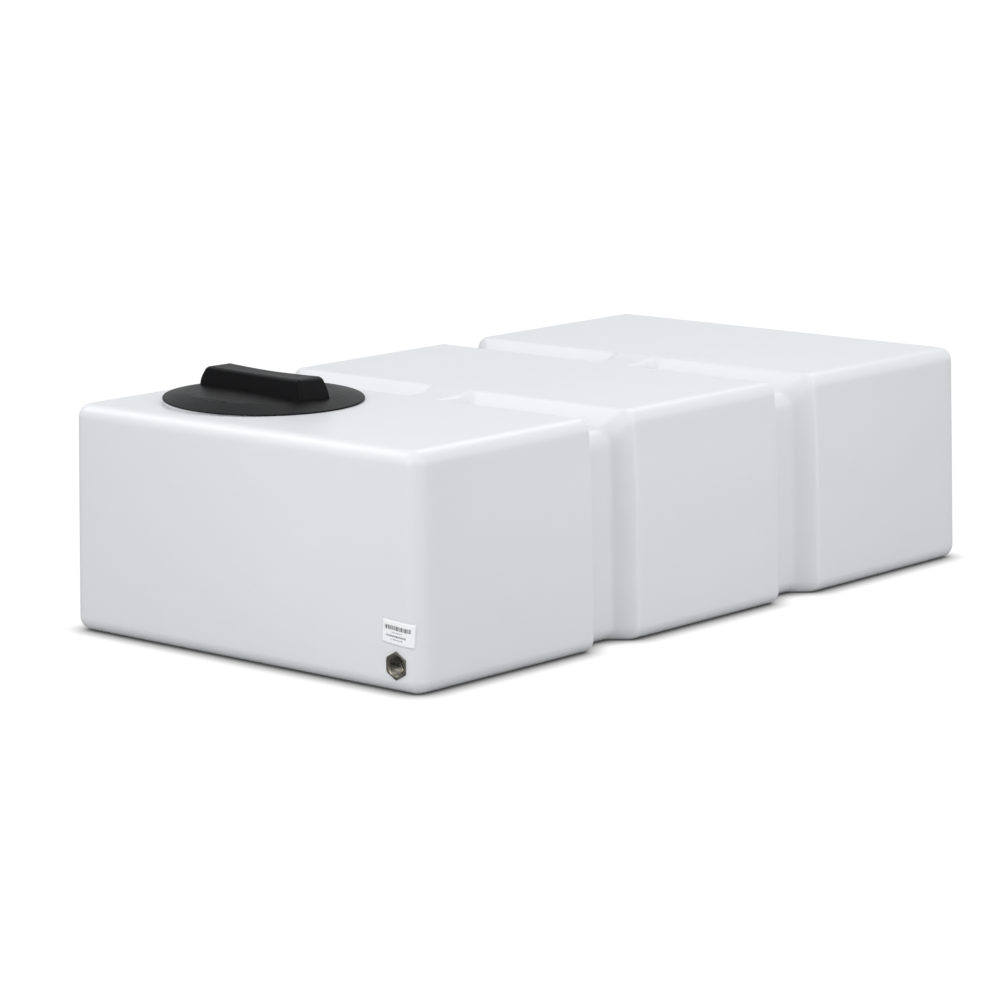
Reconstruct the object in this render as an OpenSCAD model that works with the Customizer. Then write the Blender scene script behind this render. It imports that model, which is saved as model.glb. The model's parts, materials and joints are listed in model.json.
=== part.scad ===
// Flat baffled fresh water tank with a screw lid and a threaded outlet.
// Millimetres. X runs across the width, Y along the length, Z up.
// The origin is the centre of the base face, and the outlet end faces -Y.

/* [Tank] */
// Length of the tank, along Y
tank_l = 1120; // [1000:10:1300]
// Width of the tank, along X
tank_w = 610; // [560:10:700]
// Height of the tank
tank_h = 296; // [260:4:360]
// Wall thickness of the moulding
wall = 6; // [5:0.5:8]
// Radius of the outer edges
edge_r = 18; // [14:1:24]
// How far each wall leans in from the base to the top
draft = 4; // [1:0.5:6]

/* [Baffle grooves] */
// Distance of the groove nearer the outlet from mid-length
groove_front = 196; // [180:1:205]
// Distance of the groove further from the outlet from mid-length
groove_rear = 184; // [175:1:205]
// Width of a groove at its mouth
groove_mouth = 88; // [80:1:96]
// Width of a groove at its floor
groove_floor = 46; // [38:1:50]
// Depth of a groove
groove_depth = 25; // [20:1:28]
// Radius of a groove's lips
groove_lip_r = 12; // [8:1:16]
// Radius where the groove floor turns down from the top to the side
groove_turn_r = 22; // [16:1:40]
// Width of the crest of the air bridge across a top groove
bridge_crest = 56; // [40:2:80]
// Drop of the crest below the top face
bridge_drop = 6; // [4:1:10]
// Place of the bridges along X
bridge_x = -6; // [-40:2:40]

/* [Lid] */
// Place of the lid's centre along X
lid_x = -124; // [-130:1:-100]
// Place of the lid's centre along Y
lid_y = -386; // [-396:1:-380]
// Radius of the lid's disc
lid_r = 130; // [126:1:132]
// Thickness of the disc's rim
rim_t = 3; // [3:0.5:5]
// Height of the disc's raised middle above its rim
dome = 6.5; // [5:0.5:8]
// Length of the grip at its foot
grip_l = 194; // [180:2:200]
// Width of the grip's ends at the foot
grip_w = 44; // [40:1:46]
// Width of the grip's waist at the foot
grip_waist = 34; // [30:1:38]
// Height of the grip's top above the tank's top face
grip_top = 38; // [34:1:42]

/* [Screw neck] */
// Inner radius of the neck ring's sleeve
neck_r = 102; // [102:0.5:103]
// Rise of the lid for each turn
thread_pitch = 8; // [8:0.5:9]
// Turns of thread on the lid's skirt
thread_turns = 1.75; // [1.25:0.25:1.75]

/* [Outlet] */
// Place of the outlet along X
outlet_x = 268; // [255:1:268]
// Height of the outlet's axis above the base
outlet_z = 34; // [33:1:40]
// Size of the outlet's hexagon across its flats
outlet_af = 31; // [31:0.5:33]
// Radius of the wall of the outlet's threaded hole
outlet_r = 12.06; // [11.8:0.02:12.2]
// Length of the outlet insert
outlet_l = 25; // [22:1:30]

/* [Label] */
// Width of the label along X
label_w = 50; // [40:1:52]
// Height of the label
label_h = 26; // [20:1:28]

/* [Hidden] */
arc_steps = 40;
past = 1;
hair = 0.1;

groove_ys = [-groove_front, groove_rear];

// Neck: a moulded-in ring, flush with the tank's top face
boss_depth = 16;
boss_r = neck_r + 22;
sleeve_t = 6;
sleeve_depth = 34;
flange_r = neck_r + 16;
flange_t = 3;
rib_t = 3;
rib_r = neck_r + sleeve_t + 5;
rib_z = tank_h - 11;

// Thread ridges: the same section outside the skirt and inside the sleeve
ridge_h = 2.8;
ridge_root = 3.4;
ridge_tip = 2;
ridge_sink = 0.6;
flank_gap = 0.4;
turn_steps = 60;
skirt_r = neck_r - 4;
skirt_t = 3.5;
skirt_depth = 30;
male_z = tank_h - skirt_depth + 5;
female_z = male_z + (ridge_root + ridge_tip) / 2 + flank_gap;

// Gasket and lid, stacked on the top face with a hair of clearance
seat_gap = 0.02;
gasket_t = 1.46;
gasket_in = neck_r - 0.4;
gasket_out = 124;
lid_z = tank_h + gasket_t + 2 * seat_gap;
rim_z = lid_z + rim_t;
dome_z = rim_z + dome;
dome_r = 98;
lid_t = 3.5;
grip_t = 3.5;
grip_end_r = 7;
grip_lean = 3;
grip_sag = 2;

// Breather: a slotted plug pressed into the disc, behind the grip
breather_y = 55;
breather_r = 7;
breather_cap_r = 13;
breather_cap_h = 6;
plug_floor_z = -8;
plug_floor_t = 1.5;
slot_count = 8;
slot_w = 2.5;
slot_h = 2;
slot_z = 1;
air_holes = 6;
air_hole_r = 0.8;
air_hole_ring_r = 3.4;
flap_r = 5.6;
flap_stem_r = 1.2;

outlet_proud = 1;
outlet_major_r = 13.4;
outlet_boss_r = 24;
waterway_r = 10;
shoulder_t = 4;
front_y = -tank_l / 2;

label_x = 272;
label_z = 73;
label_t = 0.3;

// A 2D outline with its outward corners and inward corners rounded
module rounded(outward, inward = 0) {
    offset(r = -inward, $fn = arc_steps) offset(delta = inward)
        offset(r = outward, $fn = arc_steps) offset(delta = -outward) children();
}

// The notch that a groove cuts from an outline, opening towards +Y of the outline
module notch() {
    polygon([
        [-groove_mouth / 2, past],
        [-groove_mouth / 2, 0],
        [-groove_floor / 2, -groove_depth],
        [groove_floor / 2, -groove_depth],
        [groove_mouth / 2, 0],
        [groove_mouth / 2, past]
    ]);
}

// Seen from above: length along X of the outline, width along Y
module plan_outline() {
    rounded(groove_lip_r, groove_depth / 3) difference() {
        rounded(edge_r) square([tank_l, tank_w], center = true);
        for (y = groove_ys, side = [0, 1])
            mirror([0, side]) translate([y / (1 - 2 * draft / tank_l), tank_w / 2]) notch();
    }
}

// Seen from the side: length along X of the outline, height along Y
module side_outline() {
    rounded(groove_lip_r, groove_depth / 3) difference() {
        rounded(edge_r) leaning_box(tank_l);
        for (y = groove_ys) translate([y, tank_h]) notch();
    }
}

// Seen from the end: width along X of the outline, height along Y
module end_outline() {
    rounded(edge_r) leaning_box(tank_w);
}

// A box's outline that narrows upwards, a hair wider than the walls it trims
module leaning_box(width) {
    polygon([
        [-width / 2 - hair, 0],
        [width / 2 + hair, 0],
        [width / 2 - draft + hair, tank_h],
        [-width / 2 + draft - hair, tank_h]
    ]);
}

// The plan outline drawn in by inset, standing from below the base to above the top and leaning in as it rises
module leaning_plan(inset) {
    extra = draft * past / tank_h;
    half = [tank_l / 2 - inset, tank_w / 2 - inset];
    foot = [half[0] + extra, half[1] + extra];
    head = [half[0] - draft - extra, half[1] - draft - extra];
    rotate(90) translate([0, 0, -past])
        linear_extrude(tank_h + 2 * past, scale = [head[0] / foot[0], head[1] / foot[1]], slices = 1)
            scale([foot[0] / half[0], foot[1] / half[1]]) offset(delta = -inset) plan_outline();
}

// Stands a side outline up along Y and extrudes it across X
module across_x(width) {
    rotate([90, 0, 90]) translate([0, 0, -width / 2]) linear_extrude(width) children();
}

// Stands an end outline up and extrudes it along Y
module along_y(length) {
    rotate([90, 0, 0]) translate([0, 0, -length / 2]) linear_extrude(length) children();
}

// The tank's solid form, drawn in by inset on every side
module tank_form(inset) {
    difference() {
        intersection() {
            leaning_plan(inset);
            across_x(tank_w + 2 * past) offset(delta = -inset) side_outline();
            along_y(tank_l + 2 * past) offset(delta = -inset) end_outline();
        }
        for (y = groove_ys, side = [0, 1]) mirror([side, 0, 0]) translate([0, y, 0]) groove_turn(inset);
    }
    for (y = groove_ys) translate([bridge_x, y, 0]) bridge(inset);
}

// What is cut away where a groove turns down from the top face to the side face
module groove_turn(inset) {
    reach = groove_turn_r + groove_depth;
    translate([tank_w / 2 - reach, 0, tank_h - reach]) difference() {
        translate([0, -groove_mouth / 2, 0]) cube([reach + past, groove_mouth, reach + past]);
        rotate([-90, 0, 0]) rotate_extrude($fn = 96) intersection() {
            offset(delta = -inset) turn_section();
            translate([0, -groove_mouth]) square([reach + past, 2 * groove_mouth]);
        }
    }
}

// Half section of the spool that a groove wraps around at its turn, carried on past its axis
module turn_section() {
    reach = groove_turn_r + groove_depth;
    polygon([
        [-reach, -groove_mouth],
        [reach, -groove_mouth],
        [reach, -groove_mouth / 2],
        [groove_turn_r, -groove_floor / 2],
        [groove_turn_r, groove_floor / 2],
        [reach, groove_mouth / 2],
        [reach, groove_mouth],
        [-reach, groove_mouth]
    ]);
}

// The saddle that lets air pass from bay to bay over a groove
module bridge(inset) {
    foot = bridge_crest + 2 * (groove_depth - bridge_drop);
    along_y(groove_mouth + 2 * edge_r - 2 * inset) polygon([
        [-foot / 2 + inset, tank_h - groove_depth - 2 * inset],
        [-foot / 2 + inset, tank_h - groove_depth - inset],
        [-bridge_crest / 2 + inset, tank_h - bridge_drop - inset],
        [bridge_crest / 2 - inset, tank_h - bridge_drop - inset],
        [foot / 2 - inset, tank_h - groove_depth - inset],
        [foot / 2 - inset, tank_h - groove_depth - 2 * inset]
    ]);
}

module at_lid() {
    translate([lid_x, lid_y, 0]) children();
}

module at_outlet(y) {
    translate([outlet_x, y, outlet_z]) rotate([-90, 0, 0]) children();
}

module tank_shell() {
    color("white") difference() {
        union() {
            difference() {
                tank_form(0);
                tank_form(wall);
            }
            at_lid() translate([0, 0, tank_h - boss_depth]) cylinder(r = boss_r, h = boss_depth - 1, $fn = 96);
            at_outlet(front_y + wall / 2) cylinder(r = outlet_boss_r, h = outlet_l + shoulder_t - wall / 2, $fn = 64);
        }
        at_lid() neck_cut();
        at_outlet(front_y - outlet_proud) outlet_hex();
        at_outlet(front_y) cylinder(r = waterway_r, h = 2 * outlet_l, $fn = 64);
    }
}

// The hole that the neck ring fills, with its flange recess and anchor groove
module neck_cut() {
    translate([0, 0, tank_h - boss_depth - past])
        cylinder(r = neck_r + sleeve_t, h = boss_depth + 2 * past, $fn = 96);
    translate([0, 0, tank_h - flange_t]) cylinder(r = flange_r, h = flange_t + past, $fn = 96);
    translate([0, 0, rib_z]) cylinder(r = rib_r, h = rib_t, $fn = 96);
}

module neck_ring() {
    color([0.12, 0.12, 0.13]) at_lid() union() {
        rotate_extrude($fn = 96) polygon([
            [neck_r, tank_h - sleeve_depth],
            [neck_r + sleeve_t, tank_h - sleeve_depth],
            [neck_r + sleeve_t, rib_z],
            [rib_r, rib_z],
            [rib_r, rib_z + rib_t],
            [neck_r + sleeve_t, rib_z + rib_t],
            [neck_r + sleeve_t, tank_h - flange_t],
            [flange_r, tank_h - flange_t],
            [flange_r, tank_h],
            [neck_r, tank_h]
        ]);
        thread_ridge(neck_r + ridge_sink, neck_r - ridge_h, female_z);
    }
}

// A helical ridge from the radius foot_r to the radius tip_r, starting at height z
module thread_ridge(foot_r, tip_r, z) {
    steps = thread_turns * turn_steps;
    fade = turn_steps / 8;
    sink_r = foot_r + (foot_r > tip_r ? -1 : 1) * ridge_sink / 2;
    ring = [for (i = [0:steps])
        let (angle = 360 * i / turn_steps,
             grown = min(1, i / fade, (steps - i) / fade),
             r = sink_r + (tip_r - sink_r) * grown,
             height = z + thread_pitch * i / turn_steps)
        for (p = [[foot_r, -ridge_root / 2], [r, -ridge_tip / 2], [r, ridge_tip / 2], [foot_r, ridge_root / 2]])
            [p[0] * cos(angle), p[0] * sin(angle), height + p[1]]];
    outward = tip_r > foot_r;
    sides = [for (i = [0:steps - 1], k = [0:3])
        let (a = 4 * i + k, b = 4 * i + (k + 1) % 4)
        each outward ? [[a, b, b + 4], [a, b + 4, a + 4]] : [[b, a, b + 4], [b + 4, a, a + 4]]];
    last = 4 * steps;
    ends = outward
        ? [[3, 2, 1, 0], [last, last + 1, last + 2, last + 3]]
        : [[0, 1, 2, 3], [last + 3, last + 2, last + 1, last]];
    polyhedron(points = ring, faces = concat(sides, ends));
}

module lid_gasket() {
    color([0.2, 0.2, 0.2]) at_lid() translate([0, 0, tank_h + seat_gap]) difference() {
        cylinder(r = gasket_out, h = gasket_t, $fn = 96);
        translate([0, 0, -past]) cylinder(r = gasket_in, h = gasket_t + 2 * past, $fn = 96);
    }
}

module lid() {
    color([0.15, 0.15, 0.16]) at_lid() difference() {
        union() {
            rotate_extrude($fn = 96) polygon([
                [0, dome_z - lid_t],
                [skirt_r - skirt_t, dome_z - lid_t],
                [skirt_r - skirt_t, tank_h - skirt_depth],
                [skirt_r, tank_h - skirt_depth],
                [skirt_r, lid_z],
                [lid_r, lid_z],
                [lid_r, rim_z - 1],
                [lid_r - 1, rim_z],
                [dome_r, dome_z],
                [0, dome_z]
            ]);
            grip_form(0);
            thread_ridge(skirt_r - ridge_sink, skirt_r + ridge_h, male_z);
        }
        grip_form(grip_t);
        translate([0, breather_y, dome_z - lid_t - past]) cylinder(r = breather_r, h = lid_t + 2 * past, $fn = 64);
    }
}

// The waisted bar: two halves, each drawn from a wide end to a narrower and lower waist
module grip_form(inset) {
    top_z = tank_h + grip_top - inset;
    foot_z = dome_z - lid_t - (inset > 0 ? past : 0);
    for (side = [0, 1]) mirror([side, 0, 0]) hull() for (y = [-1, 1]) {
        grip_corner([grip_l / 2 - inset, y * (grip_w / 2 - inset), foot_z], y, grip_end_r, 0);
        grip_corner([grip_l / 2 - grip_lean - inset, y * (grip_w / 2 - grip_lean - inset), top_z], y, grip_end_r, 1);
        grip_corner([grip_end_r, y * (grip_waist / 2 - inset), foot_z], y, grip_end_r, 0);
        grip_corner([grip_end_r, y * (grip_waist / 2 - grip_lean - inset), top_z - grip_sag], y, grip_end_r, 1);
    }
}

// A rounded corner of the grip that fits inside the corner point at its outermost place
module grip_corner(at, y, r, round_top) {
    translate([at[0] - r, at[1] - y * r, at[2] - (round_top ? r : 0)])
        if (round_top) sphere(r = r, $fn = 32);
        else cylinder(r = r, h = 1, $fn = 32);
}

module at_breather() {
    at_lid() translate([0, breather_y, dome_z]) children();
}

module breather_plug() {
    color([0.12, 0.12, 0.13]) at_breather() difference() {
        rotate_extrude($fn = 64) polygon([
            [0, plug_floor_z],
            [0, plug_floor_z - plug_floor_t],
            [breather_r, plug_floor_z - plug_floor_t],
            [breather_r, 0],
            [breather_cap_r, 0],
            [breather_cap_r, breather_cap_h - 1.5],
            [breather_cap_r - 1.5, breather_cap_h],
            [0, breather_cap_h],
            [0, breather_cap_h - 2],
            [breather_r - 2, breather_cap_h - 2],
            [breather_r - 2, plug_floor_z]
        ]);
        for (k = [0:slot_count - 1]) rotate(360 * k / slot_count)
            translate([0, -slot_w / 2, slot_z]) cube([breather_cap_r + past, slot_w, slot_h]);
        translate([0, 0, plug_floor_z - plug_floor_t - past])
            cylinder(r = flap_stem_r, h = plug_floor_t + 2 * past, $fn = 32);
        for (k = [0:air_holes - 1]) rotate(360 * k / air_holes)
            translate([air_hole_ring_r, 0, plug_floor_z - plug_floor_t - past])
                cylinder(r = air_hole_r, h = plug_floor_t + 2 * past, $fn = 24);
    }
}

// A rubber umbrella that hangs on its stem and lifts off the air holes to let air in
module breather_flap() {
    color([0.65, 0.28, 0.18]) at_breather() rotate_extrude($fn = 64) polygon([
        [0, plug_floor_z - plug_floor_t - 2.4],
        [2.2, plug_floor_z - plug_floor_t - 2.2],
        [flap_r, plug_floor_z - plug_floor_t - 0.7],
        [flap_r, plug_floor_z - plug_floor_t],
        [flap_stem_r, plug_floor_z - plug_floor_t],
        [flap_stem_r, plug_floor_z],
        [flap_stem_r + 0.5, plug_floor_z + 0.8],
        [0.6, plug_floor_z + 3],
        [0, plug_floor_z + 3]
    ]);
}

module outlet_hex() {
    rotate(30) cylinder(r = outlet_af / sqrt(3), h = outlet_l, $fn = 6);
}

module outlet_insert() {
    color([0.75, 0.72, 0.66]) at_outlet(front_y - outlet_proud) difference() {
        outlet_hex();
        translate([0, 0, -past]) cylinder(r = outlet_r, h = outlet_l + 2 * past, $fn = 64);
        translate([0, 0, -0.01]) cylinder(r1 = outlet_major_r, r2 = outlet_r, h = outlet_major_r - outlet_r, $fn = 64);
    }
}

module label() {
    color("whitesmoke") intersection() {
        difference() {
            leaning_plan(-label_t);
            leaning_plan(0);
        }
        translate([label_x - label_w / 2, front_y - 10, label_z - label_h / 2]) cube([label_w, 30, label_h]);
    }
}

tank_shell();
neck_ring();
lid_gasket();
lid();
breather_plug();
breather_flap();
outlet_insert();
label();
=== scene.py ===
"""Fresh water tank: the looks of its moulded shell, screw lid, outlet and label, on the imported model.

Lengths are worked out in millimetres in the row's frame (X across, Y along, Z up, base at 0) and
turned into metres when a mesh is made.
"""
import json
import math

import bmesh
import bpy
import numpy as np
from mathutils import Matrix, Vector


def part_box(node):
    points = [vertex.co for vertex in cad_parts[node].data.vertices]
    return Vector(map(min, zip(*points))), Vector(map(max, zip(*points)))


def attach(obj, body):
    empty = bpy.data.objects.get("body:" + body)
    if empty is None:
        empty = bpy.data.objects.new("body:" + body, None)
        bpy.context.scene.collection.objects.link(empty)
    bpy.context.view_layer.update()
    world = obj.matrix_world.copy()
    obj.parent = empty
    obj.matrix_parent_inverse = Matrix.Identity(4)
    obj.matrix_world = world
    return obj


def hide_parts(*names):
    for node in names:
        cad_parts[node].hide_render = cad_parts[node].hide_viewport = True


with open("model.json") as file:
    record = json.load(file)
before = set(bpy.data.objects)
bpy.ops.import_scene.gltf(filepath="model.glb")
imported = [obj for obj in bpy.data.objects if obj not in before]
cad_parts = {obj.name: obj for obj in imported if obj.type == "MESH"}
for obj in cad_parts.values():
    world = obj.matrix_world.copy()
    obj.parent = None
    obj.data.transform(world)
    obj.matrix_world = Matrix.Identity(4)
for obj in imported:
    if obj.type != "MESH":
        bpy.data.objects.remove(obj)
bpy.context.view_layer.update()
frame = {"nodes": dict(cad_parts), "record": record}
MM = 0.001


# ---------------------------------------------------------------- sizes, from the frame

def box_mm(node):
    """Lowest and highest corners of a CAD node, in millimetres."""
    low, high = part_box(node)
    return np.array(low) / MM, np.array(high) / MM


def mount_mm(name):
    """Place of a mount, in millimetres."""
    mount = next(m for m in frame["record"]["mounts"] if m["name"] == name)
    return np.array(mount["pos_m"]) / MM


# Tank: wall, radii of the edges and of the upright corners, and how far each wall leans in as it rises.
LENGTH, WIDTH, HEIGHT = 1120.0, 610.0, box_mm("tank_shell")[1][2]
FRONT_Y = -LENGTH / 2
WALL = 6.0
EDGE_R = 18.0
CORNER_R = 23.0
DRAFT = 4.3

# Grooves across the top and down both sides, and the air bridge that crosses each at mid-width.
GROOVE_YS = [mount_mm("strap_groove_front")[1], mount_mm("strap_groove_rear")[1]]
GROOVE_DEPTH = HEIGHT - mount_mm("strap_groove_front")[2]
GROOVE_MOUTH = 88.0
GROOVE_FLOOR = 46.0
GROOVE_LIP_R = 8.0
GROOVE_FLOOR_R = 10.0
GROOVE_TURN_R = 22.0
BRIDGE_X = -6.0
BRIDGE_CREST = 56.0
BRIDGE_SHARE = 0.24
BRIDGE_FLANK = 22.0

# Outward swell of the whole side, of each bay's side, of the ends and of the top.
SIDE_BOW = 4.5
BAY_SWELL = 1.2
END_SWELL = 1.5
TOP_SWELL = 1.2

# Screw neck and the shell's cuts and boss around it.
NECK_R = 102.0
NECK_BORE_R = NECK_R + 6
NECK_RIB_R = NECK_R + 11
NECK_RECESS_R = NECK_R + 16
NECK_BOSS_R = NECK_R + 22
THREAD_PITCH = 8.0
THREAD_TURNS = 1.75

# Lid: disc, rim, raised middle, skirt, and the faint panel and breather on the disc.
LID_LOW, LID_HIGH = box_mm("lid")
LID_X, LID_Y = (LID_LOW + LID_HIGH)[:2] / 2
LID_R = 130.0
LID_Z = box_mm("lid_gasket")[1][2] + 0.02
RIM_Z = LID_Z + 3
LIP_DROP = 1.3
DOME_Z = box_mm("breather_plug")[1][2] - 6
DOME_R = 98.0
DOME_SWELL = 2.2
SKIRT_R = 98.0
SKIRT_LOW = LID_LOW[2]
PAD = ((-18.0, -94.5), (26.0, -60.0))
BREATHER_Y = 55.0

# The disc isn't true: it is warped, curls up on one side, sags on another and sits off its thread's axis.
LID_WARP = 3.3
LID_CURL = 1.8
CURL_SIDE = (-0.75, -0.66)
RIM_SAG = 2.8
SAG_SIDE = (0.66, -0.75)
LID_OFFSET = (1.2, 1.0)

# Thin ring on the tank, round the gasket and inside the lid's lip.
SEAT_IN, SEAT_OUT = 124.2, LID_R - 3.9

# Bar grip: size at its foot, lean of its faces, dip at mid-length, flare of its ends and its place.
GRIP_L, GRIP_W, GRIP_WAIST = 174.0, 47.0, 39.0
GRIP_END_LEAN, GRIP_SIDE_LEAN, GRIP_SAG = 1.0, 2.5, 1.3
GRIP_FLARE = 12.0
GRIP_SHIFT, GRIP_TURN = 3.3, -1.6

# Outlet insert with its 3/4 inch parallel pipe thread, and the label above it.
OUTLET_LOW, OUTLET_HIGH = box_mm("outlet_insert")
OUTLET_X, OUTLET_Z = ((OUTLET_LOW + OUTLET_HIGH) / 2)[[0, 2]]
OUTLET_AF = OUTLET_HIGH[0] - OUTLET_LOW[0]
OUTLET_CREST_R = 12.06
OUTLET_ROOT_R = 13.2
OUTLET_PITCH = 1.814
OUTLET_BOSS_R = 24.0
WATERWAY_R = 10.0
LABEL_MIDDLE = sum(box_mm("label")) / 2 + np.array([0.1, 0, 0.7])
LABEL_WIDE, LABEL_TALL, LABEL_TILT = 50.0, 29.0, math.radians(-4.0)
LABEL_PROUD = 0.3


# ---------------------------------------------------------------- mesh helpers

def new_object(name, points_mm, faces):
    """A mesh object from points in millimetres."""
    mesh = bpy.data.meshes.new(name)
    mesh.from_pydata((np.asarray(points_mm, float) * MM).tolist(), [], [list(f) for f in faces])
    mesh.update()
    obj = bpy.data.objects.new(name, mesh)
    bpy.context.scene.collection.objects.link(obj)
    return obj


def apply_modifiers(obj):
    """Bakes the object's modifiers into its mesh."""
    graph = bpy.context.evaluated_depsgraph_get()
    baked = bpy.data.meshes.new_from_object(obj.evaluated_get(graph))
    obj.modifiers.clear()
    obj.data = baked


def combine(obj, tools, operation):
    """Adds or cuts away closed tool objects, which are then deleted."""
    for tool in tools:
        step = obj.modifiers.new(operation, "BOOLEAN")
        step.operation = operation
        step.solver = "MANIFOLD"
        step.object = tool
        apply_modifiers(obj)
        bpy.data.objects.remove(tool)


def smooth(obj, sharp_deg=35):
    """Smooth shading with creases kept where faces meet at more than sharp_deg."""
    mesh = obj.data
    work = bmesh.new()
    work.from_mesh(mesh)
    bmesh.ops.remove_doubles(work, verts=work.verts, dist=1e-6)
    bmesh.ops.dissolve_degenerate(work, edges=work.edges, dist=1e-7)
    for face in work.faces:
        face.smooth = True
    for edge in work.edges:
        edge.smooth = edge.is_manifold and edge.calc_face_angle(0) < math.radians(sharp_deg)
    work.to_mesh(mesh)
    work.free()


def arc_steps(radius, count):
    """Places from a corner's tangent point to the corner, spaced so that they round to equal angles."""
    return [radius * math.tan(math.pi / 4 * k / count) for k in range(count + 1)]


def axis_samples(low, high, radius, flat, corner=6):
    """Places along one axis of a box with rounded edges: corner steps, the flat places given, corner steps."""
    steps = arc_steps(radius, corner)
    start = [low + radius - s for s in reversed(steps)]
    end = [high - radius + s for s in steps]
    middle = [v for v in flat if low + radius + 0.5 < v < high - radius - 0.5]
    return np.array(start + middle + end)


def box_grid(xs, ys, zs):
    """Points and outward quads of a box's surface, gridded at the places given along each axis."""
    index = {}
    points = []
    faces = []

    def at(i, j, k):
        key = (i, j, k)
        if key not in index:
            index[key] = len(points)
            points.append((xs[i], ys[j], zs[k]))
        return index[key]

    nx, ny, nz = len(xs) - 1, len(ys) - 1, len(zs) - 1
    for side, flip in ((0, True), (nx, False)):
        for j in range(ny):
            for k in range(nz):
                quad = [at(side, j, k), at(side, j + 1, k), at(side, j + 1, k + 1), at(side, j, k + 1)]
                faces.append(quad[::-1] if flip else quad)
    for side, flip in ((0, False), (ny, True)):
        for i in range(nx):
            for k in range(nz):
                quad = [at(i, side, k), at(i + 1, side, k), at(i + 1, side, k + 1), at(i, side, k + 1)]
                faces.append(quad[::-1] if flip else quad)
    for side, flip in ((0, True), (nz, False)):
        for i in range(nx):
            for j in range(ny):
                quad = [at(i, j, side), at(i + 1, j, side), at(i + 1, j + 1, side), at(i, j + 1, side)]
                faces.append(quad[::-1] if flip else quad)
    return np.array(points), faces


def round_edges(points, low, high, radius):
    """Moves points of a box's surface onto the box with rounded edges. Its sizes may vary by point."""
    radius = np.broadcast_to(np.asarray(radius, float), points.shape[:1])[:, None]
    core = np.clip(points, low + radius, high - radius)
    away = points - core
    far = np.linalg.norm(away, axis=1, keepdims=True)
    return np.where(far > 1e-9, core + away * radius / np.maximum(far, 1e-9), points)


def open_corners(points, high, radius, wider):
    """Spreads the plan's rounded corners from radius to a wider radius."""
    x, y = points[:, 0], points[:, 1]
    u = np.clip(wider - high[0] + np.abs(x), 0, None)
    v = np.clip(wider - high[1] + np.abs(y), 0, None)
    inside = (u > 1e-9) & (v > 1e-9)
    far = np.maximum(np.hypot(u, v), 1e-9)
    across, along = u / far, v / far
    gap = wider - radius
    flat = wider / np.maximum(np.maximum(across, along), 1e-9)
    both = gap * (across + along)
    arc = both + np.sqrt(np.maximum(both ** 2 - 2 * gap ** 2 + radius ** 2, 0))
    reach = np.where(flat * np.minimum(across, along) < gap, flat, arc)
    scale = np.where(inside, wider / reach, 1)
    moved = points.copy()
    moved[:, 0] = np.where(inside, np.sign(x) * (high[0] - wider + u * scale), x)
    moved[:, 1] = np.where(inside, np.sign(y) * (high[1] - wider + v * scale), y)
    return moved


def cylinder(name, radius, z_low, z_high, centre=(0, 0), steps=128):
    """A closed cylinder along Z, as a tool for combine()."""
    return revolve(name, [(0, z_low), (radius, z_low), (radius, z_high), (0, z_high)], steps, centre)


def revolve(name, profile, steps=128, centre=(0, 0)):
    """A closed solid of revolution about Z. The profile starts and ends on the axis, or closes on itself."""
    ring = []
    points = []
    for radius, z in profile:
        if radius < 1e-9:
            ring.append([len(points)] * steps)
            points.append((centre[0], centre[1], z))
        else:
            ring.append([len(points) + k for k in range(steps)])
            for k in range(steps):
                a = 2 * math.pi * k / steps
                points.append((centre[0] + radius * math.cos(a), centre[1] + radius * math.sin(a), z))
    faces = []
    closed = profile[0][0] > 1e-9
    for i in range(len(profile) - (0 if closed else 1)):
        a, b = ring[i], ring[(i + 1) % len(profile)]
        for k in range(steps):
            n = (k + 1) % steps
            quad = [a[k], a[n], b[n], b[k]]
            unique = [v for m, v in enumerate(quad) if v != quad[m - 1]]
            if len(unique) > 2:
                faces.append(unique)
    return new_object(name, points, faces)


def fillet_path(corners, radii, arc_count=8):
    """A 2D path through corners, with each inner corner rounded to its radius."""
    path = [np.array(corners[0], float)]
    for before, here, after, radius in zip(corners, corners[1:], corners[2:], radii):
        before, here, after = (np.array(p, float) for p in (before, here, after))
        to_before = (before - here) / np.linalg.norm(before - here)
        to_after = (after - here) / np.linalg.norm(after - here)
        half = math.acos(np.clip(to_before @ to_after, -1, 1)) / 2
        if radius <= 0 or half > math.pi / 2 - 1e-6:
            path.append(here)
            continue
        centre = here + (to_before + to_after) / np.linalg.norm(to_before + to_after) * radius / math.sin(half)
        start = here + to_before * radius / math.tan(half)
        end = here + to_after * radius / math.tan(half)
        a0 = math.atan2(*(start - centre)[::-1])
        a1 = math.atan2(*(end - centre)[::-1])
        turn = (a1 - a0 + math.pi) % (2 * math.pi) - math.pi
        for k in range(arc_count + 1):
            a = a0 + turn * k / arc_count
            path.append(centre + radius * np.array([math.cos(a), math.sin(a)]))
    path.append(np.array(corners[-1], float))
    return np.array(path)


def spaced(low, high, step):
    """Even places from low to high, no further apart than step."""
    count = max(1, math.ceil((high - low) / step))
    return [low + (high - low) * k / count for k in range(count + 1)]


def ramp(values, start, end):
    """0 before start, 1 after end, smooth between."""
    t = np.clip((values - start) / (end - start), 0, 1)
    return t * t * (3 - 2 * t)


def stands_for(obj, material, node, body):
    """Gives the finished piece its material, hides the CAD node it stands for and puts it on that body."""
    obj.data.materials.clear()
    obj.data.materials.append(material)
    for face in obj.data.polygons:
        face.material_index = 0
    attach(obj, body)
    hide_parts(node)


# ---------------------------------------------------------------- tank shell

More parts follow.
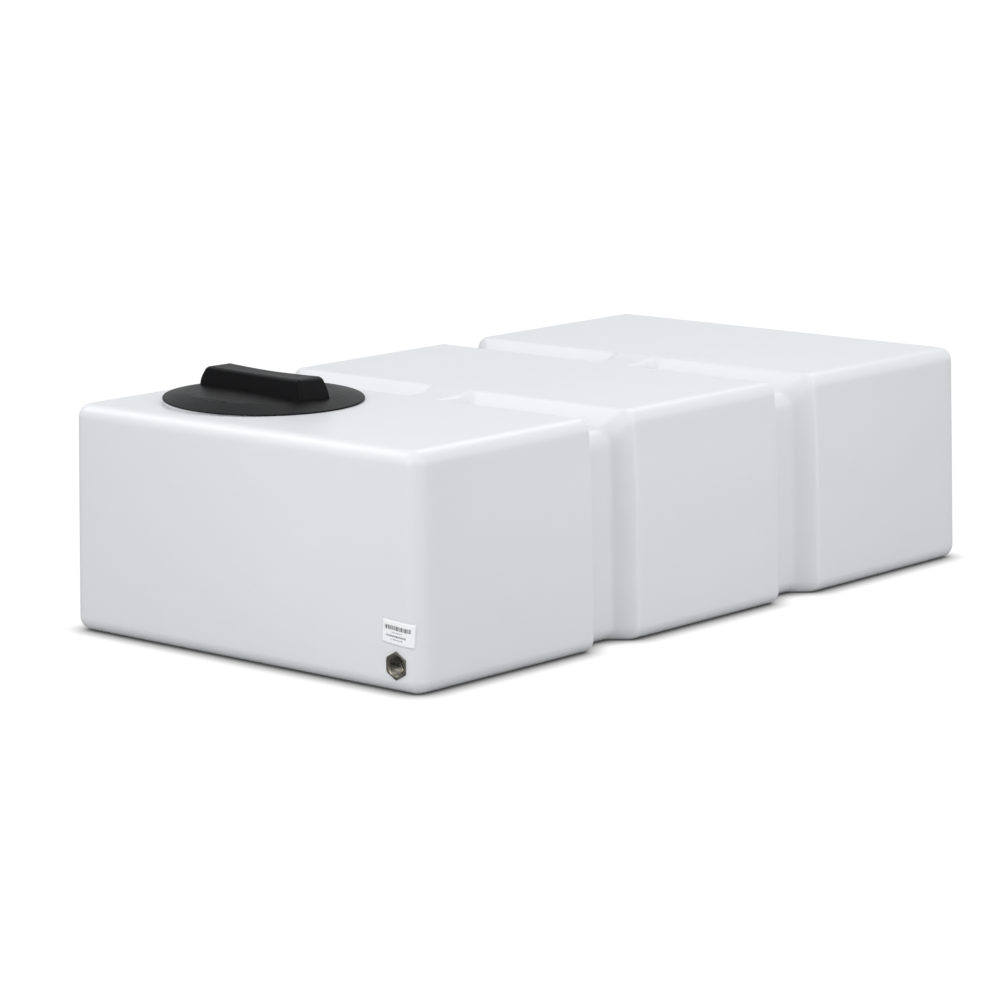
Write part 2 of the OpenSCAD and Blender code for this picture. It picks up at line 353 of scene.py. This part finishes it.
def groove_path(inset):
    """Depth of the grooves along the tank's length, as (y, depth) points, for a surface inset into the wall."""
    spread = 2 * inset * math.tan(math.pi / 8)
    corners = [(-LENGTH / 2 - 10, 0)]
    radii = []
    for y in GROOVE_YS:
        corners += [(y - (GROOVE_MOUTH + spread) / 2, 0), (y - (GROOVE_FLOOR + spread) / 2, GROOVE_DEPTH)]
        corners += [(y + (GROOVE_FLOOR + spread) / 2, GROOVE_DEPTH), (y + (GROOVE_MOUTH + spread) / 2, 0)]
        lip, floor = max(GROOVE_LIP_R - inset, 3), GROOVE_FLOOR_R + inset / 2
        radii += [lip, floor, floor, lip]
    corners.append((LENGTH / 2 + 10, 0))
    return fillet_path(corners, radii)


def lean_and_swell(points):
    """Leans the walls in as they rise, and gives the flat walls their slight outward swell."""
    x, y, z = points.T
    rise = z / HEIGHT
    edges = [-LENGTH / 2, GROOVE_YS[0], GROOVE_YS[1], LENGTH / 2]
    along = np.zeros_like(y)
    for a, b in zip(edges, edges[1:]):
        inside = (y > a) & (y < b)
        t = (2 * y - a - b) / (b - a)
        along = np.where(inside, (1 - t ** 2) ** 2, along)
    across = np.clip(1 - (2 * x / WIDTH) ** 2, 0, 1)
    upward = np.clip(1 - (2 * rise - 1) ** 2, 0, 1)
    clear_of_lid = ramp(np.hypot(x - LID_X, y - LID_Y), LID_R + 12, LID_R + 120)
    bow = SIDE_BOW * np.clip(1 - (2 * y / LENGTH) ** 2, 0, 1) * (1 - ramp(rise, 0.55, 1.0))
    side = (bow + BAY_SWELL * along * upward) * np.sign(x) * np.abs(2 * x / WIDTH) ** 6
    clear_of_outlet = np.where(y < 0, ramp(np.hypot(x - OUTLET_X, z - OUTLET_Z), 70, 200), 1)
    end = END_SWELL * np.sign(y) * np.abs(2 * y / LENGTH) ** 12 * across * upward * clear_of_outlet
    top = TOP_SWELL * np.clip(rise, 0, 1) ** 8 * along * across * clear_of_lid
    leaning = np.stack([-2 * DRAFT / WIDTH * rise * x, -2 * DRAFT / LENGTH * rise * y,
                        np.zeros_like(z)], axis=1)
    return points + leaning + np.stack([side, end, top], axis=1)


def tank_surface(name, inset, fine):
    """One closed surface of the tank, drawn in by inset from the outside."""
    radius = EDGE_R - inset
    low = np.array([-WIDTH / 2, -LENGTH / 2, 0.0]) + inset
    high = np.array([WIDTH / 2, LENGTH / 2, HEIGHT]) - inset
    path = groove_path(inset)
    bridge_reach = BRIDGE_CREST / 2 + BRIDGE_FLANK + 8
    flat_x = spaced(low[0], BRIDGE_X - bridge_reach, 8 * fine)
    flat_x += spaced(BRIDGE_X - bridge_reach, BRIDGE_X + bridge_reach, 2 * fine)[1:-1]
    flat_x += spaced(BRIDGE_X + bridge_reach, high[0], 8 * fine)
    flat_y = []
    for (y0, d0), (y1, d1) in zip(path, path[1:]):
        step = 9 * fine if d0 == d1 else 2.5 * fine
        flat_y += spaced(y0, y1, step)[:-1]
    xs = axis_samples(low[0], high[0], radius, flat_x)
    ys = axis_samples(low[1], high[1], radius, flat_y)
    zs = axis_samples(low[2], high[2], radius, spaced(low[2], high[2], 8 * fine))
    points, faces = box_grid(xs, ys, zs)

    depth = np.interp(points[:, 1], path[:, 0], path[:, 1])
    flank = np.abs(points[:, 0] - BRIDGE_X) + inset
    on_bridge = 1 - ramp(flank, BRIDGE_CREST / 2, BRIDGE_CREST / 2 + BRIDGE_FLANK)
    top_depth = depth * (1 - on_bridge * (1 - BRIDGE_SHARE))
    half = high[0] - depth
    top = high[2] - top_depth
    points[:, 0] *= half / high[0]
    points[:, 2] = low[2] + (points[:, 2] - low[2]) * (top - low[2]) / (high[2] - low[2])
    turn_r = radius + (GROOVE_TURN_R - EDGE_R + 0.6 * inset) * depth / GROOVE_DEPTH
    radii = np.where(points[:, 2] > HEIGHT / 2, turn_r, radius)
    lows = np.stack([-half, np.full_like(half, low[1]), np.full_like(half, low[2])], axis=1)
    highs = np.stack([half, np.full_like(half, high[1]), top], axis=1)
    points = round_edges(points, lows, highs, radii)
    points = open_corners(points, high, radius, radius + CORNER_R - EDGE_R)
    return new_object(name, lean_and_swell(points), faces)


def outlet_tool(name, radius, y_low, y_high, steps=96):
    """A cylinder along Y on the outlet's axis."""
    tool = cylinder(name, radius, y_low, y_high, steps=steps)
    turn = Matrix.Rotation(math.radians(-90), 4, "X") @ Matrix.Rotation(math.radians(30), 4, "Z")
    tool.data.transform(turn)
    tool.data.transform(Matrix.Translation(Vector((OUTLET_X, 0, OUTLET_Z)) * MM))
    return tool


def build_tank():
    """The moulded shell: outside, cavity, bosses, cuts for neck and outlet, and the ring round the gasket."""
    shell = tank_surface("tank_shell_moulded", 0, 1.0)
    cavity = tank_surface("cavity", WALL, 1.6)
    combine(shell, [cavity], "DIFFERENCE")
    at = (LID_X, LID_Y)
    boss = cylinder("boss", NECK_BOSS_R, HEIGHT - 16, HEIGHT - 1, at)
    outlet_boss = outlet_tool("outlet_boss", OUTLET_BOSS_R, FRONT_Y + WALL / 2, OUTLET_HIGH[1] + 4)
    combine(shell, [boss, outlet_boss], "UNION")
    bore = cylinder("bore", NECK_BORE_R, HEIGHT - 20, HEIGHT + 5, at)
    rib = cylinder("rib", NECK_RIB_R, HEIGHT - 11, HEIGHT - 8, at)
    recess = cylinder("recess", NECK_RECESS_R, HEIGHT - 3, HEIGHT + 5, at)
    waterway = outlet_tool("waterway", WATERWAY_R, FRONT_Y, OUTLET_HIGH[1] + 10)
    pocket = outlet_tool("pocket", OUTLET_AF / math.sqrt(3), FRONT_Y - 5, OUTLET_HIGH[1], steps=6)
    combine(shell, [bore, rib, recess, waterway, pocket], "DIFFERENCE")
    seat = revolve("seat", [(SEAT_IN, HEIGHT - 2), (SEAT_OUT, HEIGHT - 2), (SEAT_OUT, LID_Z - 1.4),
                            (SEAT_OUT - 0.6, LID_Z - 0.8), (SEAT_IN, LID_Z - 0.8)], 256, at)
    for vertex in seat.data.vertices:
        x, y, z = vertex.co / MM
        if z > HEIGHT:
            vertex.co.z += lid_lift(x, y) * MM
    combine(shell, [seat], "UNION")
    smooth(shell, 30)
    stands_for(shell, polyethylene(), "tank_shell", "tank")


# ---------------------------------------------------------------- neck, lid and breather

def ridge(name, foot_r, tip_r, z, per_turn=120):
    """A closed helical ridge with a rounded tip that fades out at both ends, about the lid's axis."""
    section = [(0, -1.7), (0.75, -1.15), (0.93, -0.8), (1, -0.35),
               (1, 0.35), (0.93, 0.8), (0.75, 1.15), (0, 1.7)]
    steps = int(THREAD_TURNS * per_turn)
    fade = per_turn / 8
    sunk = foot_r + 0.3 * math.copysign(1, tip_r - foot_r)
    points = []
    for i in range(steps + 1):
        a = 2 * math.pi * i / per_turn
        grown = min(1, i / fade, (steps - i) / fade)
        climb = z + THREAD_PITCH * i / per_turn
        for share, dz in section:
            r = foot_r + (sunk + (tip_r - sunk) * grown - foot_r) * share
            points.append((LID_X + r * math.cos(a), LID_Y + r * math.sin(a), climb + dz))
    count = len(section)
    faces = []
    for i in range(steps):
        for k in range(count):
            a, b = count * i + k, count * i + (k + 1) % count
            faces.append((a, b, b + count, a + count))
    faces += [tuple(range(count))[::-1], tuple(range(count * steps, count * (steps + 1)))]
    if tip_r < foot_r:
        faces = [f[::-1] for f in faces]
    return new_object(name, points, faces)


def grip_form(name, inset, foot_z):
    """The lid's bar: waisted, leaning in towards its top, a little lower at mid-length."""
    top = LID_HIGH[2] - 0.4 - inset
    half_l, half_w = GRIP_L / 2 - inset, GRIP_W / 2 - inset
    radius = 4.0 - min(inset, 3) * 0.6
    xs = axis_samples(-half_l, half_l, radius, spaced(-half_l, half_l, 4), 5)
    ys = axis_samples(-half_w, half_w, radius, spaced(-half_w, half_w, 3), 5)
    zs = np.array(spaced(foot_z, top - radius, 2) + [top - radius + s for s in arc_steps(radius, 5)][1:])
    points, faces = box_grid(xs, ys, zs)
    low = np.array([-half_l, -half_w, foot_z - 100])
    points = round_edges(points, low, np.array([half_l, half_w, top]), radius)
    x, y, z = points.T
    rise = np.clip((z - DOME_Z) / (top - DOME_Z), -1, 1)
    share = np.clip(np.abs(x) / half_l, 0, 1) ** 1.6
    width = 1 - (GRIP_W - GRIP_WAIST) / GRIP_W * (1 - share) - 2 * GRIP_SIDE_LEAN / GRIP_W * rise
    sag = GRIP_SAG * (1 - share) * np.clip(rise, 0, 1)
    by_corner = 0.68 + 0.32 * x * y / half_l / half_w
    flared = GRIP_FLARE * np.sign(x) * (x / half_l) ** 4 * by_corner * (1 - rise ** 2)
    x = x * (1 - 2 * GRIP_END_LEAN / GRIP_L * rise) + flared + GRIP_SHIFT
    y = y * width
    turn = math.radians(GRIP_TURN)
    points = np.stack([LID_X + x * math.cos(turn) - y * math.sin(turn),
                       LID_Y + x * math.sin(turn) + y * math.cos(turn), z - sag], axis=1)
    return new_object(name, points, faces)


def lid_lift(x, y):
    """How far the lid's disc stands off its level seat: warped up towards -X and curled up on CURL_SIDE."""
    across, along = (x - LID_X) / LID_R, (y - LID_Y) / LID_R
    curled = max(0, CURL_SIDE[0] * across + CURL_SIDE[1] * along)
    return LID_WARP * (0.5 - across / 2) + LID_CURL * curled ** 2


def warp_lid(lid):
    """Lifts and shifts the lid's disc and lets its rim sag. The skirt and its thread stay true, and the seat
    of the breather very nearly."""
    for vertex in lid.data.vertices:
        x, y, z = vertex.co / MM
        from_axis = math.hypot(x - LID_X, y - LID_Y)
        from_breather = math.hypot(x - LID_X, y - LID_Y - BREATHER_Y)
        above_skirt = ramp(z, LID_Z - 4, LID_Z - 2)
        up_the_grip = ramp(z, DOME_Z + 4, DOME_Z + 22)
        lift = lid_lift(x, y) * (0.15 + 0.85 * ramp(from_breather, 14, 40))
        lift *= above_skirt * (1 - 0.5 * up_the_grip)
        sagging = 0.5 + (SAG_SIDE[0] * (x - LID_X) + SAG_SIDE[1] * (y - LID_Y)) / 2 / LID_R
        lift -= RIM_SAG * sagging * ramp(from_axis, 84, LID_R) * ramp(z, LID_Z + 0.5, LID_Z + 2)
        outward = ramp(from_axis, NECK_R, LID_R - 5)
        vertex.co += Vector((LID_OFFSET[0] * outward, LID_OFFSET[1] * outward, lift)) * MM


def build_lid():
    """The screw lid: lipped rim, cone, raised middle, threaded skirt, hollow bar grip and a faint panel."""
    at = (LID_X, LID_Y)
    profile = fillet_path(
        [(0, DOME_Z - 3.5), (SKIRT_R - 3.5, DOME_Z - 3.5), (SKIRT_R - 3.5, SKIRT_LOW), (SKIRT_R, SKIRT_LOW),
         (SKIRT_R, LID_Z), (LID_R - 2, LID_Z), (LID_R - 2, LID_Z - LIP_DROP), (LID_R, LID_Z - LIP_DROP),
         (LID_R, RIM_Z), (DOME_R, DOME_Z + 0.15 * DOME_SWELL),
         (DOME_R / 2, DOME_Z + 0.8 * DOME_SWELL), (0, DOME_Z + DOME_SWELL)],
        [2, 1, 1, 0.6, 0.5, 0.5, 0.8, 1.2, 14, 400], 6)
    lid = revolve("lid_moulded", profile, 256, at)
    corners = np.array([(*PAD[0], DOME_Z - 2), (*PAD[1], DOME_Z + 0.75)])
    xs, ys, zs = (axis_samples(low, high, 0.3, spaced(low, high, 4), 3) for low, high in corners.T)
    points, faces = box_grid(xs, ys, zs)
    points = round_edges(points, corners[0], corners[1], 0.3) + np.array([LID_X, LID_Y, 0])
    combine(lid, [grip_form("grip", 0, DOME_Z - 2), new_object("pad", points, faces),
                  ridge("male_thread", SKIRT_R - 0.6, SKIRT_R + 2.8, SKIRT_LOW + 5)], "UNION")
    breather = (LID_X, LID_Y + BREATHER_Y)
    seat = cylinder("seat", 14.5, DOME_Z, DOME_Z + 9, breather)
    hole = cylinder("hole", 7, DOME_Z - 10, DOME_Z + 5, breather, 64)
    combine(lid, [grip_form("hollow", 3.5, DOME_Z - 6), seat, hole], "DIFFERENCE")
    warp_lid(lid)
    smooth(lid, 32)
    stands_for(lid, black_moulding("black_polypropylene", 0.004, 0.42), "lid", "lid")


def finish_small_pieces():
    """Materials on the CAD pieces that stay as they are."""
    looks = {
        "neck_ring": black_moulding("ring_polypropylene", 0.012, 0.4),
        "breather_plug": black_moulding("plug_polypropylene", 0.012, 0.35),
        "lid_gasket": rubber("gasket_rubber", (0.03, 0.03, 0.03), 0.6),
        "breather_flap": rubber("flap_silicone", (0.45, 0.12, 0.06), 0.5),
    }
    for node, material in looks.items():
        frame["nodes"][node].data.materials[0] = material


# ---------------------------------------------------------------- outlet insert and label

def build_outlet():
    """A hexagonal brass insert with a chamfered face and a parallel pipe thread cut as a true helix."""
    steps = 96
    corner_r = OUTLET_AF / math.sqrt(3)
    low, high = OUTLET_LOW[1], OUTLET_HIGH[1]
    thread_low, thread_high = low + 1.6, high - 1.2
    rows = int((thread_high - thread_low) / OUTLET_PITCH * 8)
    points, rings = [], []

    def ring(radius_at, y_at):
        rings.append(len(points))
        for k in range(steps):
            a = 2 * math.pi * (k + 0.5) / steps
            r, y = radius_at(a), y_at(a)
            points.append((OUTLET_X + r * math.cos(a), y, OUTLET_Z + r * math.sin(a)))

    def hexagon(a):
        return OUTLET_AF / 2 / math.cos((a + math.pi / 6) % (math.pi / 3) - math.pi / 6)

    def chamfered(a):
        return low + max(0.0, hexagon(a) - (corner_r - 1.3)) * math.tan(math.radians(30)) + 0.25

    ring(lambda a: OUTLET_ROOT_R + 0.9, lambda a: low)
    ring(lambda a: OUTLET_AF / 2 - 0.5, lambda a: low)
    ring(lambda a: hexagon(a) - 0.25, lambda a: chamfered(a) - 0.2)
    ring(hexagon, chamfered)
    ring(hexagon, lambda a: high)
    ring(lambda a: OUTLET_CREST_R + 0.4, lambda a: high)
    ring(lambda a: OUTLET_CREST_R, lambda a: high - 0.4)
    for j in range(rows + 1):
        y = thread_high + (thread_low - thread_high) * j / rows
        fade = min(1.0, j / 8, (rows - j) / 6)

        def radius(a, y=y, fade=fade):
            phase = (y / OUTLET_PITCH - a / (2 * math.pi)) % 1
            depth = np.clip(1.6 * (1 - abs(2 * phase - 1)) - 0.3, 0, 1)
            return OUTLET_CREST_R + (OUTLET_ROOT_R - OUTLET_CREST_R) * depth * fade

        ring(radius, lambda a, y=y: y)
    ring(lambda a: OUTLET_CREST_R + 0.3, lambda a: low + 1.3)
    faces = []
    for a, b in zip(rings, rings[1:] + rings[:1]):
        for k in range(steps):
            n = (k + 1) % steps
            faces.append((a + k, b + k, b + n, a + n))
    insert = new_object("outlet_insert_turned", points, faces)
    smooth(insert, 40)
    stands_for(insert, nickel(), "outlet_insert", "tank")


def build_label():
    """A thin film over the end wall and round the corner, a little askew."""
    start = WIDTH / 2 - CORNER_R
    columns, rows = 51, 14
    points = []
    for lift in (LABEL_PROUD, -LABEL_PROUD):
        for j in range(rows + 1):
            for i in range(columns + 1):
                u, v = LABEL_WIDE * (i / columns - 0.5), LABEL_TALL * (j / rows - 0.5)
                s = LABEL_MIDDLE[0] + u * math.cos(LABEL_TILT) - v * math.sin(LABEL_TILT)
                z = LABEL_MIDDLE[2] + u * math.sin(LABEL_TILT) + v * math.cos(LABEL_TILT)
                turn = max(0.0, s - start) / CORNER_R
                x = min(s, start) + (CORNER_R + lift) * math.sin(turn)
                y = -LENGTH / 2 + CORNER_R - (CORNER_R + lift) * math.cos(turn)
                points.append((x, y, z))
    points = lean_and_swell(np.array(points))
    layer = (columns + 1) * (rows + 1)
    faces = []

    def at(i, j):
        return j * (columns + 1) + i

    for j in range(rows):
        for i in range(columns):
            quad = [at(i, j), at(i + 1, j), at(i + 1, j + 1), at(i, j + 1)]
            faces += [quad, [layer + v for v in reversed(quad)]]
    rim = [at(i, 0) for i in range(columns)] + [at(columns, j) for j in range(rows)]
    rim += [at(i, rows) for i in range(columns, 0, -1)] + [at(0, j) for j in range(rows, 0, -1)]
    for a, b in zip(rim, rim[1:] + rim[:1]):
        faces.append([a, a + layer, b + layer, b])
    label = new_object("label_film_printed", points, faces)
    grid = label.data.uv_layers.new(name="film")
    for loop in label.data.loops:
        j, i = divmod(loop.vertex_index % layer, columns + 1)
        grid.data[loop.index].uv = (i / columns, j / rows)
    for face in label.data.polygons:
        face.use_smooth = True
    stands_for(label, printed_film(), "label", "tank")


# ---------------------------------------------------------------- materials

class Nodes:
    """Short calls for building a material's node tree."""

    def __init__(self, name):
        self.material = bpy.data.materials.new(name)
        self.material.use_nodes = True
        self.tree = self.material.node_tree
        self.tree.nodes.clear()
        self.shader = self.add("ShaderNodeBsdfPrincipled")
        self.output = self.add("ShaderNodeOutputMaterial")
        self.link(self.shader, self.output.inputs["Surface"])

    def add(self, kind, **settings):
        node = self.tree.nodes.new(kind)
        for key, value in settings.items():
            if key in node.inputs:
                node.inputs[key].default_value = value
            else:
                setattr(node, key, value)
        return node

    def link(self, source, target, output=0):
        self.tree.links.new(source.outputs[output], target)

    def place(self):
        """Object coordinates, in metres in the row's frame."""
        return self.add("ShaderNodeTexCoord").outputs["Object"]

    def noise(self, scale, detail=2.0, roughness=0.5):
        node = self.add("ShaderNodeTexNoise", Scale=scale, Detail=detail, Roughness=roughness)
        self.tree.links.new(self.place(), node.inputs["Vector"])
        return node

    def spread(self, source, low, high, output=0):
        """The 0 to 1 of source mapped to low to high."""
        node = self.add("ShaderNodeMapRange")
        node.inputs["To Min"].default_value = low
        node.inputs["To Max"].default_value = high
        self.link(source, node.inputs["Value"], output)
        return node

    def mix(self, share, first, second):
        node = self.add("ShaderNodeMix", data_type="RGBA")
        node.inputs["A"].default_value = (*first, 1)
        node.inputs["B"].default_value = (*second, 1)
        self.link(share, node.inputs["Factor"])
        return node

    def bump(self, heights, distances_mm):
        """Bumps laid one on another, each with its own depth in millimetres."""
        last = None
        for height, distance in zip(heights, distances_mm):
            node = self.add("ShaderNodeBump", Distance=distance * MM, Strength=1.0)
            self.link(height, node.inputs["Height"])
            if last:
                self.link(last, node.inputs["Normal"])
            last = node
        self.link(last, self.shader.inputs["Normal"])

    def set(self, **values):
        for key, value in values.items():
            self.shader.inputs[key.replace("_", " ")].default_value = value


def polyethylene():
    """Natural white rotomoulded polyethylene: a little translucent, satin, with a fine orange peel."""
    n = Nodes("white_polyethylene")
    cloud = n.noise(5, 3)
    tone = n.mix(n.spread(cloud, 0, 1), (0.76, 0.765, 0.79), (0.79, 0.795, 0.815))
    n.link(tone, n.shader.inputs["Base Color"], 2)
    n.set(IOR=1.5, Subsurface_Weight=0.35, Subsurface_Scale=0.008)
    n.shader.inputs["Subsurface Radius"].default_value = (1.0, 0.95, 0.9)
    smear = n.noise(28, 4, 0.6)
    n.link(n.spread(smear, 0.34, 0.46), n.shader.inputs["Roughness"])
    n.bump([n.noise(420, 2), n.noise(60, 2), n.noise(9, 1)], [0.05, 0.12, 0.5])
    return n.material


def black_moulding(name, tone, gloss):
    """Black polypropylene with a fine spark-eroded texture, worn a little lighter in patches."""
    n = Nodes(name)
    dust = n.noise(35, 5, 0.65)
    colour = n.mix(n.spread(dust, 0, 1), (tone, tone, tone * 1.15), (tone * 1.7, tone * 1.7, tone * 1.9))
    n.link(colour, n.shader.inputs["Base Color"], 2)
    n.set(Specular_IOR_Level=0.08)
    n.link(n.spread(n.noise(120, 3), gloss - 0.05, gloss + 0.1), n.shader.inputs["Roughness"])
    n.bump([n.noise(1500, 2), n.noise(160, 2)], [0.03, 0.05])
    return n.material


def printed_film():
    """White label film with a band of plain bars above rows of short dashes that stand for print."""
    n = Nodes("printed_film")
    split = n.add("ShaderNodeSeparateXYZ")
    n.link(n.add("ShaderNodeUVMap", uv_map="film"), split.inputs[0])

    def band(axis, low, high):
        """1 where the film's coordinate along axis lies between low and high."""
        above = n.add("ShaderNodeMath", operation="GREATER_THAN")
        below = n.add("ShaderNodeMath", operation="LESS_THAN")
        both = n.add("ShaderNodeMath", operation="MULTIPLY")
        n.link(split, above.inputs[0], axis)
        n.link(split, below.inputs[0], axis)
        above.inputs[1].default_value = low
        below.inputs[1].default_value = high
        n.link(above, both.inputs[0])
        n.link(below, both.inputs[1])
        return both

    def marks(per_width, share, seed):
        """Uneven upright marks that cover the given share of the film."""
        cells = n.add("ShaderNodeTexNoise", noise_dimensions="1D", Scale=per_width, Detail=0.0)
        shifted = n.add("ShaderNodeMath", operation="ADD")
        n.link(split, shifted.inputs[0], 0)
        shifted.inputs[1].default_value = seed
        n.link(shifted, cells.inputs["W"])
        cut = n.add("ShaderNodeMath", operation="LESS_THAN")
        n.link(cells, cut.inputs[0])
        cut.inputs[1].default_value = share
        return cut

    def row(low, high, left, right, per_width, share, seed):
        result = marks(per_width, share, seed)
        for part in (band(1, low, high), band(0, left, right)):
            both = n.add("ShaderNodeMath", operation="MULTIPLY")
            n.link(result, both.inputs[0])
            n.link(part, both.inputs[1])
            result = both
        return result

    ink = None
    for one in (row(0.61, 0.79, 0.06, 0.88, 60, 0.53, 1), row(0.48, 0.53, 0.28, 0.62, 110, 0.48, 5),
                row(0.31, 0.39, 0.10, 0.76, 80, 0.52, 9), row(0.18, 0.24, 0.26, 0.66, 110, 0.48, 14)):
        if ink:
            most = n.add("ShaderNodeMath", operation="MAXIMUM")
            n.link(ink, most.inputs[0])
            n.link(one, most.inputs[1])
            one = most
        ink = one
    colour = n.mix(ink, (0.93, 0.93, 0.94), (0.06, 0.06, 0.065))
    n.link(colour, n.shader.inputs["Base Color"], 2)
    n.link(n.spread(n.noise(300, 2), 0.4, 0.55), n.shader.inputs["Roughness"])
    n.bump([n.noise(500, 2)], [0.01])
    return n.material


def rubber(name, colour, rough):
    """Soft rubber with a dusty bloom."""
    n = Nodes(name)
    bloom = n.noise(90, 4, 0.6)
    tone = n.mix(n.spread(bloom, 0, 1), colour, tuple(min(1, c * 1.5 + 0.01) for c in colour))
    n.link(tone, n.shader.inputs["Base Color"], 2)
    n.link(n.spread(n.noise(200, 2), rough - 0.08, rough + 0.08), n.shader.inputs["Roughness"])
    n.bump([n.noise(700, 2)], [0.03])
    return n.material


def nickel():
    """Nickel-plated brass with turning marks. Its warm base colour is kept dark all over as painted shade for
    the bore, and varies at random.
    """
    n = Nodes("nickel_plate")
    warm = n.noise(150, 3)
    # Painted shade: both warm tones sit far below bright nickel, so the insert and its bore read as shaded.
    colour = n.mix(n.spread(warm, 0, 1), (0.12, 0.112, 0.097), (0.22, 0.205, 0.17))
    n.link(colour, n.shader.inputs["Base Color"], 2)
    n.set(Metallic=1.0)
    n.link(n.spread(n.noise(300, 3), 0.12, 0.28), n.shader.inputs["Roughness"])
    n.bump([n.noise(900, 2)], [0.01])
    return n.material


# ---------------------------------------------------------------- stage

def floor():
    """A plain white floor. The camera sees it glowing white, with a painted contact shadow that is darker where
    ambient occlusion finds the tank close by. The tank gets back only part of the light that falls on it, as
    from matt paper."""
    size = 30000
    plane = new_object("floor", [(-size, -size, 0), (size, -size, 0), (size, size, 0), (-size, size, 0)],
                       [(0, 1, 2, 3)])
    plane.location.z = -0.0008
    n = Nodes("floor_white")
    n.tree.nodes.remove(n.shader)
    # Painted contact shadow: the floor's glow is dimmed where ambient occlusion finds the tank close by.
    open_sky = n.add("ShaderNodeAmbientOcclusion", samples=10, Distance=0.028)
    painted_contact_shadow = n.add("ShaderNodeMapRange")
    painted_contact_shadow.inputs["From Min"].default_value = 0.12
    painted_contact_shadow.inputs["From Max"].default_value = 0.93
    painted_contact_shadow.inputs["To Min"].default_value = 0.05
    painted_contact_shadow.inputs["To Max"].default_value = 1.02
    n.link(open_sky, painted_contact_shadow.inputs["Value"], 1)
    seen = n.add("ShaderNodeEmission")
    n.link(painted_contact_shadow, seen.inputs["Strength"])
    bounced = n.add("ShaderNodeBsdfDiffuse", Color=(0.44, 0.44, 0.44, 1))
    choice = n.add("ShaderNodeMixShader")
    n.link(n.add("ShaderNodeLightPath"), choice.inputs["Fac"])
    n.link(bounced, choice.inputs[1])
    n.link(seen, choice.inputs[2])
    n.link(choice, n.output.inputs["Surface"])
    plane.data.materials.append(n.material)


def lamp(name, kind, place, aim, power, **settings):
    """A lamp at place, pointed at aim."""
    data = bpy.data.lights.new(name, kind)
    data.energy = power
    for key, value in settings.items():
        setattr(data, key, value)
    obj = bpy.data.objects.new(name, data)
    bpy.context.scene.collection.objects.link(obj)
    obj.location = place
    obj.rotation_euler = (Vector(aim) - Vector(place)).to_track_quat("-Z", "Y").to_euler()
    return obj


def light():
    """A bright even dome, a broad soft light from above the outlet end, fills for the end and the side, and
    two lamps behind that show only as sheen on the black lid and the edges."""
    scene = bpy.context.scene
    world = bpy.data.worlds.new("studio")
    world.use_nodes = True
    world.node_tree.nodes["Background"].inputs["Color"].default_value = (0.97, 0.985, 1, 1)
    world.node_tree.nodes["Background"].inputs["Strength"].default_value = 0.87
    scene.world = world
    lamp("overhead", "SUN", (0.4, -2.2, 2.2), (0, 0, 0), 0.27, angle=math.radians(60))
    lamp("end_fill", "AREA", (0.3, -1.6, 0.68), (0.15, -0.56, 0.19), 3.5, size=0.6)
    lamp("side_fill", "AREA", (1.5, 0.1, 0.66), (0.3, 0, 0.19), 4.1, size=1.2)
    for place, power in (((-0.7, 2.0, 3.0), 28), ((-2.4, -1.0, 2.6), 38)):
        rim = lamp("rim", "AREA", place, (0, 0, 0.2), power, size=2.0)
        rim.visible_diffuse = False
    scene.view_settings.view_transform = "Standard"
    scene.view_settings.look = "None"


def camera():
    """A long lens from the front right, a little above, with the whole tank in view."""
    azimuth, elevation, roll = (math.radians(v) for v in (41.60, 10.466, -0.503))
    distance = 5208.0
    target = Vector((-45.0 * math.cos(azimuth), -45.0 * math.sin(azimuth), 125.1))
    back = Vector((math.sin(azimuth) * math.cos(elevation), -math.cos(azimuth) * math.cos(elevation),
                   math.sin(elevation)))
    data = bpy.data.cameras.new("camera")
    data.sensor_width = 36
    data.lens = 3.8696 * data.sensor_width
    data.clip_end = 100
    obj = bpy.data.objects.new("camera", data)
    bpy.context.scene.collection.objects.link(obj)
    right = Vector((math.cos(azimuth), math.sin(azimuth), 0))
    up = back.cross(right)
    axes = Matrix((right * math.cos(roll) + up * math.sin(roll),
                   -right * math.sin(roll) + up * math.cos(roll), back)).transposed()
    obj.matrix_world = Matrix.Translation((target + back * distance) * MM) @ axes.to_4x4()
    bpy.context.scene.camera = obj


# ---------------------------------------------------------------- build

build_tank()
build_lid()
build_outlet()
build_label()
finish_small_pieces()
floor()
light()
camera()
